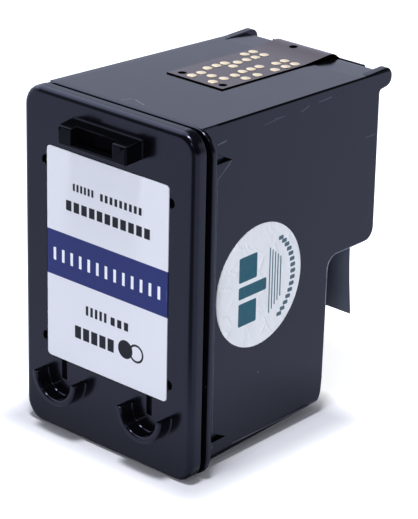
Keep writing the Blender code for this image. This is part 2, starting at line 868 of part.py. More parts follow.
def make_circuit():
    left = CIRCUIT_OFFSET - CIRCUIT_WIDTH / 2
    shape = ribbon(circuit_path(), CIRCUIT_THICKNESS, left, left + CIRCUIT_WIDTH)
    circuit = add_object("flex_circuit", shape, polyimide)
    window = printhead_plate(DIE_POCKET_BORDER, NOZZLE_FACE - WALL / 2, WALL)
    combine(circuit, add_cutter("die_window", window))
    for number, (across, along) in enumerate(CIRCUIT_HOLES):
        hole = disc(CIRCUIT_HOLE_RADIUS, 2 * WALL, 16)
        depth = CIRCUIT_FRONT + along
        place = (CIRCUIT_OFFSET + across, depth, body_top(depth) - WALL / 2)
        combine(circuit, add_cutter(f"circuit_hole_{number}", hole, place))
    return circuit


def make_pads():
    rise = ADHESIVE + CIRCUIT_THICKNESS + ADHESIVE
    tilt = (-math.atan(LEVEL_DRAFT), 0, 0)
    number = 0
    for across, column in PAD_COLUMNS.items():
        for along in column:
            number += 1
            shape = disc(PAD_RADIUS, PAD_THICKNESS, 20, PAD_EDGE)
            depth = CIRCUIT_FRONT + along
            place = (CIRCUIT_OFFSET + across, depth, body_top(depth) + rise)
            add_object(f"contact_pad_{number:02d}", shape, gold, place, tilt)


def make_printhead():
    die_front = NOZZLE_FACE - DIE_POCKET_DEPTH + ADHESIVE
    die = printhead_plate(0, die_front, DIE_THICKNESS)
    add_object("printhead_die", die, silicon)
    plate_front = die_front + DIE_THICKNESS + ADHESIVE
    plate = printhead_plate(0, plate_front, NOZZLE_PLATE_THICKNESS)
    add_object("nozzle_plate", plate, nozzle_foil)
    # Beads of epoxy over the bond leads at both ends of the die
    room = DIE_POCKET_BORDER - 2 * ADHESIVE
    crown = NOZZLE_FACE + ADHESIVE + CIRCUIT_THICKNESS + BEAD_RISE
    for name, side in (("bond_bead_upper", 1), ("bond_bead_lower", -1)):
        middle = PRINTHEAD_HEIGHT + side * (DIE_LENGTH / 2 + DIE_POCKET_BORDER / 2)
        outline = fillet_outline(
            (
                (die_front, middle - room / 2, 0),
                (crown, middle - room / 2, room / 3),
                (crown, middle + room / 2, room / 3),
                (die_front, middle + room / 2, 0),
            )
        )
        bead = extruded_side(outline, lambda depth: DIE_WIDTH / 2 + DIE_POCKET_BORDER / 2)
        add_object(name, bead, epoxy)


def make_tape():
    """Tape that starts on the lip, covers the nozzles and hangs below the snout."""
    reach = LIP_RADIUS + CLEARANCE + CIRCUIT_THICKNESS + 2 * ADHESIVE
    face = NOZZLE_FACE + 2 * ADHESIVE + CIRCUIT_THICKNESS + BEAD_RISE
    tape_end = SNOUT_HEIGHT - TAPE_BELOW_SNOUT
    landing = Vector((face, LIP_HEIGHT - 2 * reach))
    path = [
        *smooth_path([*lip_wrap(reach, TAPE_WRAP_START, WRAP_END), landing]),
        *smooth_path(
            [
                (face, SNOUT_HEIGHT),
                (face + TAPE_SWING / 4, (SNOUT_HEIGHT + tape_end) / 2),
                (face + TAPE_SWING, tape_end),
            ]
        ),
    ]
    shape = ribbon(path, TAPE_THICKNESS, -TAPE_WIDTH / 2, TAPE_WIDTH / 2)
    add_object("nozzle_tape", shape, tape_film)


def make_inside():
    screen_back = CHAMBER_END - CLEARANCE
    screen_front = screen_back - FILTER_THICKNESS
    half_width = PORT_WIDTH / 2 + FILTER_BORDER
    half_height = PORT_TALL / 2 + FILTER_BORDER
    screen = rounded_plate(
        -half_width,
        half_width,
        PRINTHEAD_HEIGHT - half_height,
        PRINTHEAD_HEIGHT + half_height,
        PORT_CORNER_RADIUS,
        screen_front,
        screen_back,
    )
    add_object("filter_screen", screen, steel_mesh)
    foam_front = PLUG_START + PLUG_LENGTH + CLEARANCE
    block = lofted_block(foam_front, screen_front - CLEARANCE, CLEARANCE)
    add_object("foam_block", block, foam)


def make_fill_plug():
    """A round plug with a flanged head, pressed into the lid under the label."""
    head_back = head_seat() - CLEARANCE
    shaft = PORT_RADIUS - CLEARANCE
    length = PLUG_START - head_back
    shape = bmesh.new()
    section = [
        shape.verts.new((radius, 0, z))
        for radius, z in (
            (0, 0),
            (FILL_PLUG_HEAD_RADIUS, 0),
            (FILL_PLUG_HEAD_RADIUS, -FILL_PLUG_HEAD_DEPTH),
            (shaft, -FILL_PLUG_HEAD_DEPTH),
            (shaft, -FILL_PLUG_HEAD_DEPTH - length),
            (0, -FILL_PLUG_HEAD_DEPTH - length),
        )
    ]
    edges = [shape.edges.new(pair) for pair in zip(section, section[1:])]
    bmesh.ops.spin(
        shape, geom=section + edges, cent=(0, 0, 0), axis=(0, 0, 1), angle=math.tau, steps=24
    )
    bmesh.ops.remove_doubles(shape, verts=shape.verts, dist=WELD)
    place = (0, head_back - FILL_PLUG_HEAD_DEPTH, FILL_PORT_HEIGHT)
    add_object("fill_plug", shape, rubber, place, (math.pi / 2, 0, 0))


def make_label():
    label_back = LABEL_SEAT_DEPTH - ADHESIVE
    label = rounded_plate(
        -LABEL_WIDTH / 2,
        LABEL_WIDTH / 2,
        LABEL_BOTTOM,
        LABEL_TOP,
        LABEL_CORNER_RADIUS,
        label_back - LABEL_THICKNESS,
        label_back,
    )
    add_object("front_label", label, paper_label)


def make_sticker():
    shape = disc(STICKER_RADIUS, STICKER_THICKNESS, 64)
    place, turn = on_side(ADHESIVE - STICKER_SEAT_DEPTH)
    add_object("side_sticker", shape, paper_sticker, place, turn)


make_body_shell()
make_lid()
make_inside()
make_fill_plug()
make_circuit()
make_pads()
make_printhead()
make_tape()
make_label()
make_sticker()
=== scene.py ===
import math

import bmesh
import bpy
from mathutils import Matrix, Vector


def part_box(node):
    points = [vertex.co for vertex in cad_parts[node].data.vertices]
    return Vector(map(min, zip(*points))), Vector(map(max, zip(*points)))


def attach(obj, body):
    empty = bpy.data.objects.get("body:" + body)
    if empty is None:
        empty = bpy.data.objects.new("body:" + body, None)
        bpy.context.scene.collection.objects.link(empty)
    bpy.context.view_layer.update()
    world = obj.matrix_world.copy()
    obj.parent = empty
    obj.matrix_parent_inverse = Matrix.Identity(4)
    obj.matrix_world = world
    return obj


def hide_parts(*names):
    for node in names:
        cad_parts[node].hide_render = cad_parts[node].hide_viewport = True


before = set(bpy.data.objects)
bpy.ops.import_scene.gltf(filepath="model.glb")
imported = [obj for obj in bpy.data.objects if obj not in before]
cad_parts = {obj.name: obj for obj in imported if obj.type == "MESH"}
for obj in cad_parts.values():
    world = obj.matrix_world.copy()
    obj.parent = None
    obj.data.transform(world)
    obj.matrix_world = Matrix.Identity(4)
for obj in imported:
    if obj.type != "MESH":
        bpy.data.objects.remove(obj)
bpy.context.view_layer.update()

# The CAD frame: x across, y from the lid (-) to the printhead (+), z up, in metres
mm = 0.001
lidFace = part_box("lid")[0].y + 3.2 * mm  # the lid's front plane lies behind the latch block


def linearColour(hexText, alpha=1.0):
    channels = [int(hexText[i:i + 2], 16) / 255 for i in (0, 2, 4)]
    linear = [c / 12.92 if c <= 0.04045 else ((c + 0.055) / 1.055) ** 2.4 for c in channels]
    return (*linear, alpha)


def addNode(tree, kind, settings=None, inputs=None):
    made = tree.nodes.new(kind)
    for name, value in (settings or {}).items():
        setattr(made, name, value)
    for name, value in (inputs or {}).items():
        socket = made.inputs[name]
        if isinstance(value, bpy.types.NodeSocket):
            tree.links.new(value, socket)
        else:
            socket.default_value = value
    return made


def startMaterial(name):
    material = bpy.data.materials.new(name)
    material.use_nodes = True
    tree = material.node_tree
    return material, tree, tree.nodes["Principled BSDF"]


# Masks: 1 inside a shape, falling to 0 over its soft edge

def axesInMm(tree, across, up, centre):
    # Two coordinates of the surface in millimetres, measured from the print's centre
    place = addNode(tree, "ShaderNodeTexCoord")
    parts = addNode(tree, "ShaderNodeSeparateXYZ", inputs={"Vector": place.outputs["Object"]})
    result = []
    for axis, middle in zip((across, up), centre):
        shifted = addNode(tree, "ShaderNodeMath", {"operation": "SUBTRACT"}, {
            0: parts.outputs[axis], 1: middle})
        scaled = addNode(tree, "ShaderNodeMath", {"operation": "DIVIDE"}, {
            0: shifted.outputs["Value"], 1: mm})
        result.append(scaled.outputs["Value"])
    return result


def roundedBar(tree, axes, left, right, low, high, radius, soft):
    # Distance to a box with rounded corners, turned into a mask
    gaps = []
    for axis, start, end in ((axes[0], left, right), (axes[1], low, high)):
        centred = addNode(tree, "ShaderNodeMath", {"operation": "SUBTRACT"}, {
            0: axis, 1: (start + end) / 2})
        size = addNode(tree, "ShaderNodeMath", {"operation": "ABSOLUTE"}, {0: centred.outputs["Value"]})
        beyond = addNode(tree, "ShaderNodeMath", {"operation": "SUBTRACT"}, {
            0: size.outputs["Value"], 1: (end - start) / 2 - radius})
        outside = addNode(tree, "ShaderNodeMath", {"operation": "MAXIMUM"}, {
            0: beyond.outputs["Value"], 1: 0.0})
        gaps.append(outside.outputs["Value"])
    both = addNode(tree, "ShaderNodeCombineXYZ", inputs={"X": gaps[0], "Y": gaps[1]})
    length = addNode(tree, "ShaderNodeVectorMath", {"operation": "LENGTH"}, {0: both.outputs["Vector"]})
    mask = addNode(tree, "ShaderNodeMapRange", inputs={
        "Value": length.outputs["Value"], "From Min": radius + soft / 2, "From Max": radius - soft / 2})
    return mask.outputs["Result"]


def roundDot(tree, axes, across, up, radius, soft):
    return roundedBar(tree, axes, across - radius, across + radius, up - radius, up + radius, radius, soft)


def joined(tree, masks):
    total = masks[0]
    for mask in masks[1:]:
        larger = addNode(tree, "ShaderNodeMath", {"operation": "MAXIMUM"}, {0: total, 1: mask})
        total = larger.outputs["Value"]
    return total


def layered(tree, base, layers):
    # Lays one colour after another over the base, each where its mask is 1
    for mask, colour in layers:
        mixed = addNode(tree, "ShaderNodeMix", {"data_type": "RGBA"}, {
            "Factor": mask, "A": base, "B": linearColour(colour)})
        base = mixed.outputs["Result"]
    return base


def drawnLines(tree, axes, lines, soft):
    # Thin lines, each from one point to another: (across, up, across, up, width) in mm
    point = addNode(tree, "ShaderNodeCombineXYZ", inputs={"X": axes[0], "Y": axes[1]})
    masks = []
    for startX, startY, endX, endY, width in lines:
        length = math.hypot(endX - startX, endY - startY)
        along = ((endX - startX) / length, (endY - startY) / length, 0)
        moved = addNode(tree, "ShaderNodeVectorMath", {"operation": "SUBTRACT"}, {
            0: point.outputs["Vector"], 1: (startX, startY, 0)})
        turned = [addNode(tree, "ShaderNodeVectorMath", {"operation": "DOT_PRODUCT"}, {
            0: moved.outputs["Vector"], 1: axis}).outputs["Value"]
            for axis in (along, (-along[1], along[0], 0))]
        masks.append(roundedBar(tree, turned, 0, length, -width / 2, width / 2, width / 2, soft))
    return joined(tree, masks)


# Moulded plastic

plasticLook = {
    "baseColour": "050507",
    "tint": "dde1ff",  # the bluish cast of the gloss
    "ior": 1.50,
    "sheen": 0.5,  # specular level of a plain wall
    "bodyRoughness": 0.16,
    "lidRoughness": 0.20,
    "swing": (-0.02, 0.03),  # the roughness drifts so far over the waves of a cooled wall
    "wave": 7 * mm,
    "waveShare": (0.3, 0.7),
    "grain": 0.12 * mm,  # spark-eroded mould texture
    "grainDepth": 0.003 * mm,
    "bump": 0.25,
    "polished": 0.10,  # roughness of the latch block and the cups,
    "polishFade": 0.1 * mm,  # which begin this far in front of the lid's face
    "latchProud": 0.08 * mm,
    "latchFoot": 45.6 * mm,  # above this the lid's front carries the latch block, whose gloss is turned down there: painted shade
    "paintedLatchShade": 0.12,  # whose deep pocket in the mould left it with little sheen
    "foot": 2.1 * mm,  # below this the body's gloss is turned down: painted shade along its foot
    "footFade": 0.15 * mm,
    "paintedFootShade": 0.15,
    # Painted dark line along the roof's long edges: height of the roof and place of the walls at y = 0,
    # how both lean with y, how far in from them the line starts and ends, and its front end
    "roofHeight": 52.91 * mm,
    "roofLean": 0.0303,
    "wallPlace": 14.67 * mm,
    "wallLean": 0.0195,
    "edgeLine": (0.34 * mm, 0.22 * mm),
    "paintedRoofEdgeShade": 0.08,
    "edgeFront": -15.1 * mm,
}

wearAndPaintedHighlights = {
    "slant": 0.28,  # the fine scratches run along the cartridge, a little downhill
    "stretch": 0.08,
    "spacing": 1 * mm,
    "patch": 9 * mm,  # size of the patches that are scratched
    # How much of the two noises makes a scratch and a patch, and breaks up a single scratch
    "streakShare": (0.69, 0.74),
    "patchShare": (0.52, 0.62),
    "brokenShare": (0.35, 0.60),
    "brokenLeast": 0.5,
    "colour": "3c3f4a",
    "roughness": 0.25,
    "soft": 0.12,  # mm, edge of a single scratch
    # Single scratches and painted edge highlights: their plane, the side and the place past which
    # they are drawn, their colour, and the lines, each from one point to another with its width, in mm
    "sets": [
        ("YZ", "X", 12 * mm, "5c606c", [  # right wall: scratches, and painted edge highlights (lines 1-3 and 9)
            (-14.95, 3.0, -14.95, 45.0, 0.12), (-14.9, 45.1, -12.0, 47.2, 0.16),
            (-15.2, 50.3, -13.2, 50.5, 0.20), (-5.0, 50.7, -2.2, 50.9, 0.07),
            (-2.4, 51.0, -0.3, 50.9, 0.06), (3.2, 50.6, 5.1, 51.1, 0.14),
            (7.3, 51.1, 10.3, 51.2, 0.08), (-5.0, 12.0, -4.6, 12.1, 0.20),
            (-10.4, 2.3, 10.4, 2.0, 0.16)]),
        ("YZ", "X", 12 * mm, "8c909c", [  # painted highlight along the edge under the snout
            (17.3, 25.5, 14.8, 25.5, 0.5), (14.8, 25.5, 12.5, 25.5, 0.5), (12.5, 25.5, 11.6, 25.1, 0.5),
            (11.6, 25.1, 11.0, 24.2, 0.5), (11.0, 24.2, 11.0, 22.0, 0.5), (11.0, 22.0, 10.9, 17.9, 0.5)]),
        ("XY", "Z", 52 * mm, "8c909c", [  # roof
            (-1.5, -17.4, -1.2, -15.6, 0.10), (-0.6, -15.6, 2.2, -16.5, 0.12)]),
    ],
}


def mouldedPlastic(name, look, baseRoughness):
    # High-impact polystyrene, injection moulded: a near-black body under an even semi-gloss.
    # Besides the material's own nodes it gives the coordinates and the roughness to build on
    material, tree, shader = startMaterial(name)
    place = addNode(tree, "ShaderNodeTexCoord")
    grain = addNode(tree, "ShaderNodeTexNoise", inputs={
        "Vector": place.outputs["Object"], "Scale": 1 / look["grain"], "Detail": 2.0})
    wave = addNode(tree, "ShaderNodeTexNoise", inputs={
        "Vector": place.outputs["Object"], "Scale": 1 / look["wave"], "Detail": 1.0})
    smoother, rougher = look["swing"]
    gloss = addNode(tree, "ShaderNodeMapRange", inputs={
        "Value": wave.outputs["Fac"], "From Min": look["waveShare"][0], "From Max": look["waveShare"][1],
        "To Min": baseRoughness + smoother, "To Max": baseRoughness + rougher})
    bump = addNode(tree, "ShaderNodeBump", inputs={
        "Height": grain.outputs["Fac"], "Strength": look["bump"], "Distance": look["grainDepth"]})
    tree.links.new(bump.outputs["Normal"], shader.inputs["Normal"])
    shader.inputs["Base Color"].default_value = linearColour(look["baseColour"])
    shader.inputs["IOR"].default_value = look["ior"]
    shader.inputs["Specular Tint"].default_value = linearColour(look["tint"])
    return material, tree, shader, place.outputs["Object"], gloss.outputs["Result"]


def polishedLid(look):
    # The lid's latch block and cups came from a polished part of the mould: sharp highlights
    material, tree, shader, place, roughness = mouldedPlastic(
        "lid polystyrene moulded", look, look["lidRoughness"])
    spot = addNode(tree, "ShaderNodeSeparateXYZ", inputs={"Vector": place})
    polish = addNode(tree, "ShaderNodeMapRange", inputs={
        "Value": spot.outputs["Y"], "From Min": lidFace - look["polishFade"], "From Max": lidFace,
        "To Min": look["polished"], "To Max": roughness})
    # Painted shade: on the latch block the specular level is turned down, so it reads dark
    front = addNode(tree, "ShaderNodeMath", {"operation": "LESS_THAN"}, {
        0: spot.outputs["Y"], 1: lidFace - look["latchProud"]})
    above = addNode(tree, "ShaderNodeMath", {"operation": "GREATER_THAN"}, {
        0: spot.outputs["Z"], 1: look["latchFoot"]})
    latch = addNode(tree, "ShaderNodeMath", {"operation": "MULTIPLY"}, {
        0: front.outputs["Value"], 1: above.outputs["Value"]})
    sheen = addNode(tree, "ShaderNodeMapRange", inputs={
        "Value": latch.outputs["Value"], "To Min": look["sheen"], "To Max": look["paintedLatchShade"]})
    tree.links.new(polish.outputs["Result"], shader.inputs["Roughness"])
    tree.links.new(sheen.outputs["Result"], shader.inputs["Specular IOR Level"])
    return material


def paintedBodyShade(tree, look, spot):
    # Specular level, turned down as painted shade at the body's foot and on a line along the roof's
    # long edges, which is found by how far a point lies inside both the leaning roof and the
    # leaning wall
    foot = addNode(tree, "ShaderNodeMapRange", inputs={
        "Value": spot.outputs["Z"], "From Min": look["foot"] - look["footFade"], "From Max": look["foot"],
        "To Min": look["paintedFootShade"], "To Max": look["sheen"]})
    high = addNode(tree, "ShaderNodeMath", {"operation": "MULTIPLY_ADD"}, {
        0: spot.outputs["Y"], 1: look["roofLean"], 2: spot.outputs["Z"]})
    half = addNode(tree, "ShaderNodeMath", {"operation": "ABSOLUTE"}, {0: spot.outputs["X"]})
    wide = addNode(tree, "ShaderNodeMath", {"operation": "MULTIPLY_ADD"}, {
        0: spot.outputs["Y"], 1: look["wallLean"], 2: half.outputs["Value"]})
    upper = addNode(tree, "ShaderNodeMath", {"operation": "SUBTRACT"}, {
        0: high.outputs["Value"], 1: look["roofHeight"]})
    outer = addNode(tree, "ShaderNodeMath", {"operation": "SUBTRACT"}, {
        0: wide.outputs["Value"], 1: look["wallPlace"]})
    nearest = addNode(tree, "ShaderNodeMath", {"operation": "MINIMUM"}, {
        0: upper.outputs["Value"], 1: outer.outputs["Value"]})
    lineStart, lineEnd = look["edgeLine"]
    line = addNode(tree, "ShaderNodeMapRange", inputs={
        "Value": nearest.outputs["Value"], "From Min": -lineStart, "From Max": -lineEnd,
        "To Min": 1.0, "To Max": look["paintedRoofEdgeShade"]})
    ahead = addNode(tree, "ShaderNodeMath", {"operation": "LESS_THAN"}, {
        0: spot.outputs["Y"], 1: look["edgeFront"]})
    kept = addNode(tree, "ShaderNodeMath", {"operation": "MAXIMUM"}, {
        0: line.outputs["Result"], 1: ahead.outputs["Value"]})
    bodyShade = addNode(tree, "ShaderNodeMath", {"operation": "MULTIPLY"}, {
        0: foot.outputs["Result"], 1: kept.outputs["Value"]})
    return bodyShade.outputs["Value"]


def bodyWithWearAndPaintedLight(look, wearAndHighlights):
    # The body's walls show fine scratches from being handled, in patches, and a few single ones,
    # with painted highlights along some edges and painted shade at the foot and the roof's edges
    material, tree, shader, place, roughness = mouldedPlastic(
        "body polystyrene moulded", look, look["bodyRoughness"])
    spot = addNode(tree, "ShaderNodeSeparateXYZ", inputs={"Vector": place})
    along = addNode(tree, "ShaderNodeMapping", inputs={
        "Vector": place, "Rotation": (wearAndHighlights["slant"], 0, 0), "Scale": (1, wearAndHighlights["stretch"], 1)})
    streak = addNode(tree, "ShaderNodeTexNoise", inputs={
        "Vector": along.outputs["Vector"], "Scale": 1 / wearAndHighlights["spacing"], "Detail": 3.0})
    patch = addNode(tree, "ShaderNodeTexNoise", inputs={
        "Vector": place, "Scale": 1 / wearAndHighlights["patch"], "Detail": 1.0})
    fine = addNode(tree, "ShaderNodeMapRange", inputs={
        "Value": streak.outputs["Fac"],
        "From Min": wearAndHighlights["streakShare"][0], "From Max": wearAndHighlights["streakShare"][1]})
    some = addNode(tree, "ShaderNodeMapRange", inputs={
        "Value": patch.outputs["Fac"],
        "From Min": wearAndHighlights["patchShare"][0], "From Max": wearAndHighlights["patchShare"][1]})
    scuff = addNode(tree, "ShaderNodeMath", {"operation": "MULTIPLY"}, {
        0: fine.outputs["Result"], 1: some.outputs["Result"]})
    rougher = addNode(tree, "ShaderNodeMath", {"operation": "MULTIPLY_ADD"}, {
        0: scuff.outputs["Value"], 1: wearAndHighlights["roughness"], 2: roughness})
    broken = addNode(tree, "ShaderNodeMapRange", inputs={
        "Value": streak.outputs["Fac"], "To Min": wearAndHighlights["brokenLeast"],
        "From Min": wearAndHighlights["brokenShare"][0], "From Max": wearAndHighlights["brokenShare"][1]})
    layers = [(scuff.outputs["Value"], wearAndHighlights["colour"])]
    for plane, side, start, colour, lines in wearAndHighlights["sets"]:
        drawnMarks = drawnLines(tree, axesInMm(tree, *plane, (0, 0)), lines, wearAndHighlights["soft"])
        here = addNode(tree, "ShaderNodeMath", {"operation": "GREATER_THAN"}, {
            0: spot.outputs[side], 1: start})
        kept = addNode(tree, "ShaderNodeMath", {"operation": "MULTIPLY"}, {
            0: drawnMarks, 1: here.outputs["Value"]})
        scratchesAndHighlights = addNode(tree, "ShaderNodeMath", {"operation": "MULTIPLY"}, {
            0: kept.outputs["Value"], 1: broken.outputs["Result"]})
        layers.append((scratchesAndHighlights.outputs["Value"], colour))
    tree.links.new(layered(tree, linearColour(look["baseColour"]), layers), shader.inputs["Base Color"])
    tree.links.new(rougher.outputs["Value"], shader.inputs["Roughness"])
    tree.links.new(paintedBodyShade(tree, look, spot), shader.inputs["Specular IOR Level"])
    return material


bodyPlastic = bodyWithWearAndPaintedLight(plasticLook, wearAndPaintedHighlights)
lidPlastic = polishedLid(plasticLook)
print("plastics made")


# Printed paper

labelLook = {
    "paper": "dadce4",
    "blue": "202b68",
    "ink": "111218",
    "reversed": "e6e9f4",  # bare paper left in the band
    "roughness": 0.38,
    "sheen": 0.3,
    "fibre": 0.35 * mm,
    "fibreDepth": 0.02 * mm,
    "soft": 0.06,  # mm, soft edge of the print
    # All places in mm, across from the label's middle and up from its bottom edge.
    # The band: left, right, low, high
    "band": (-14, 14, 13.2, 20.29),
    # A row of blocks: middle, height, left, right, number of blocks, share of ink
    "rows": [
        (28.0, 1.15, -6.8, -2.3, 6, 0.62),
        (27.9, 1.15, -1.3, 7.3, 9, 0.62),
        (24.9, 1.6, -8.2, 9.0, 11, 0.74),
        (9.4, 1.5, -4.15, 0.5, 5, 0.60),
        (9.3, 1.3, 0.9, 4.95, 3, 0.66),
        (5.4, 2.0, -6.4, 2.0, 5, 0.78),
    ],
    "bandRow": (16.6, 2.0, -10.8, 11.9, 13, 0.32),
    "mark": (3.9, 6.1, 5.7, 1.45, 0.34),  # disc and ring: their middles, height, radius, line
}

stickerLook = {
    "teal": "1b5c6c",
    "grey": "4a6470",
    "paper": "f3f6f9",
    "roughness": 0.45,
    "sheen": 0.35,
    "crease": 3.2 * mm,
    "fold": 3.6 * mm,  # size of the fields between sharp folds
    "foldWidth": 0.09,  # in shares of that size
    "foldRise": 0.30,
    "lifted": (0.46, 0.60),  # share of the creases where the paper was lifted
    "creaseDepth": 0.35 * mm,
    "soft": 0.06,  # mm, soft edge of the print
    # Bars of the generic mark: (left, right, low, high) in mm from the sticker's middle
    "bars": [(-4.6, -0.6, 1.5, 5.4), (-4.6, 1.6, -1.1, 0.8), (-4.6, -0.6, -5.4, -1.8)],
    # Stripes beside them: number, first one's left edge, width, pitch, half height, loss per stripe
    "stripes": (5, 2.2, 0.25, 0.62, 5.2, 0.5),
    # Dashes round the edge: number, radius, half angle, half width, half height
    "dashes": (15, 7.7, 52, 0.55, 0.32),
}


def blockRow(tree, axes, row, soft):
    # A line of text stood in for by equal blocks
    middle, height, left, right, count, share = row
    pitch = (right - left) / count
    span = roundedBar(tree, axes, left, right, middle - height / 2, middle + height / 2, 0.2, soft)
    steps = addNode(tree, "ShaderNodeMath", {"operation": "SUBTRACT"}, {0: axes[0], 1: left})
    turn = addNode(tree, "ShaderNodeMath", {"operation": "WRAP"}, {
        0: steps.outputs["Value"], 1: pitch, 2: 0.0})
    inside = addNode(tree, "ShaderNodeMapRange", inputs={
        "Value": turn.outputs["Value"], "From Min": pitch * share, "From Max": pitch * share - soft})
    both = addNode(tree, "ShaderNodeMath", {"operation": "MULTIPLY"}, {
        0: span, 1: inside.outputs["Result"]})
    return both.outputs["Value"]


def labelPaper(look):
    # Coated label paper, offset printed: bright, smooth and a little glossy
    material, tree, shader = startMaterial("label paper coated")
    low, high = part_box("front_label")
    axes = axesInMm(tree, "X", "Z", ((low.x + high.x) / 2, low.z))
    soft = look["soft"]
    left, right, up, radius, line = look["mark"]
    disc = roundDot(tree, axes, left, up, radius, soft)
    ring = addNode(tree, "ShaderNodeMath", {"operation": "SUBTRACT"}, {
        0: roundDot(tree, axes, right, up, radius, soft),
        1: roundDot(tree, axes, right, up, radius - line, soft)})
    inked = [blockRow(tree, axes, row, soft) for row in look["rows"]] + [disc, ring.outputs["Value"]]
    colour = layered(tree, linearColour(look["paper"]), [
        (roundedBar(tree, axes, *look["band"], 0.1, soft), look["blue"]),
        (joined(tree, inked), look["ink"]),
        (blockRow(tree, axes, look["bandRow"], soft), look["reversed"])])
    place = addNode(tree, "ShaderNodeTexCoord")
    fibre = addNode(tree, "ShaderNodeTexNoise", inputs={
        "Vector": place.outputs["Object"], "Scale": 1 / look["fibre"], "Detail": 3.0})
    bump = addNode(tree, "ShaderNodeBump", inputs={
        "Height": fibre.outputs["Fac"], "Strength": 0.1, "Distance": look["fibreDepth"]})
    tree.links.new(bump.outputs["Normal"], shader.inputs["Normal"])
    tree.links.new(colour, shader.inputs["Base Color"])
    shader.inputs["Roughness"].default_value = look["roughness"]
    shader.inputs["Specular IOR Level"].default_value = look["sheen"]
    return material


def stickerPaper(look):
    # Matt label paper with a teal print, slightly creased where it was pressed on
    material, tree, shader = startMaterial("sticker paper matt")
    low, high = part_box("side_sticker")
    axes = axesInMm(tree, "Y", "Z", ((low.y + high.y) / 2, (low.z + high.z) / 2))
    soft = look["soft"]
    bars = [roundedBar(tree, axes, *bar, 0.25, soft) for bar in look["bars"]]
    count, first, width, pitch, half, loss = look["stripes"]
    stripes = []
    for i in range(count):
        left, top = first + pitch * i, half - loss * i
        stripes.append(roundedBar(tree, axes, left, left + width, -top, top, 0.1, soft))
    count, radius, halfAngle, halfWidth, halfHeight = look["dashes"]
    dashes = []
    for i in range(count):
        angle = math.radians(halfAngle * (2 * i / (count - 1) - 1))
        y, z = radius * math.cos(angle), radius * math.sin(angle)
        dashes.append(roundedBar(
            tree, axes, y - halfWidth, y + halfWidth, z - halfHeight, z + halfHeight, 0.2, soft))
    colour = layered(tree, linearColour(look["paper"]), [
        (joined(tree, bars + stripes), look["teal"]), (joined(tree, dashes), look["grey"])])
    place = addNode(tree, "ShaderNodeTexCoord")
    crease = addNode(tree, "ShaderNodeTexNoise", inputs={
        "Vector": place.outputs["Object"], "Scale": 1 / look["crease"], "Detail": 3.0, "Distortion": 0.8})
    # Sharp folds run along the borders of large cells, where the paper was lifted
    cells = addNode(tree, "ShaderNodeTexVoronoi", {"feature": "DISTANCE_TO_EDGE"}, {
        "Vector": place.outputs["Object"], "Scale": 1 / look["fold"]})
    fold = addNode(tree, "ShaderNodeMapRange", inputs={
        "Value": cells.outputs["Distance"], "From Max": look["foldWidth"], "To Min": 1.0, "To Max": 0.0})
    lifted = addNode(tree, "ShaderNodeMapRange", inputs={
        "Value": crease.outputs["Fac"], "From Min": look["lifted"][0], "From Max": look["lifted"][1]})
    folds = addNode(tree, "ShaderNodeMath", {"operation": "MULTIPLY"}, {
        0: fold.outputs["Result"], 1: lifted.outputs["Result"]})
    relief = addNode(tree, "ShaderNodeMath", {"operation": "MULTIPLY_ADD"}, {
        0: folds.outputs["Value"], 1: look["foldRise"], 2: crease.outputs["Fac"]})
    bump = addNode(tree, "ShaderNodeBump", inputs={
        "Height": relief.outputs["Value"], "Strength": 0.6, "Distance": look["creaseDepth"]})
    tree.links.new(bump.outputs["Normal"], shader.inputs["Normal"])
    tree.links.new(colour, shader.inputs["Base Color"])
    shader.inputs["Roughness"].default_value = look["roughness"]
    shader.inputs["Specular IOR Level"].default_value = look["sheen"]
    return material


labelMaterial = labelPaper(labelLook)
stickerMaterial = stickerPaper(stickerLook)
print("prints made")


# Circuit film, contacts and printhead

circuitLook = {
    "film": "362623",
    "copper": "48302a",
    "trackPitch": 0.55 * mm,
    "trackDepth": 0.02 * mm,
    "trackEdge": (0.45, 0.62),
    "roughness": 0.13,
    "ior": 1.60,
    # painted shadow at the film's edges and painted shade round its holes
    "paintedFilmShadow": "020202",
    "holes": [(1.65, 1.6), (9.67, 1.6), (4.42, 23.6)],  # mm from the film's front left corner
    "border": 0.10,  # mm, painted shadow along the film's front and right edges
    "holeRim": 0.66,  # mm, radius of the painted shade over and round each hole
    "beyond": 5,  # mm, the edge shadow's mask runs on past the left and rear ends, which show none
    "soft": 0.05,  # mm
    "pressed": 0.08 * mm,  # film and pads are pressed down onto the plastic by this
}


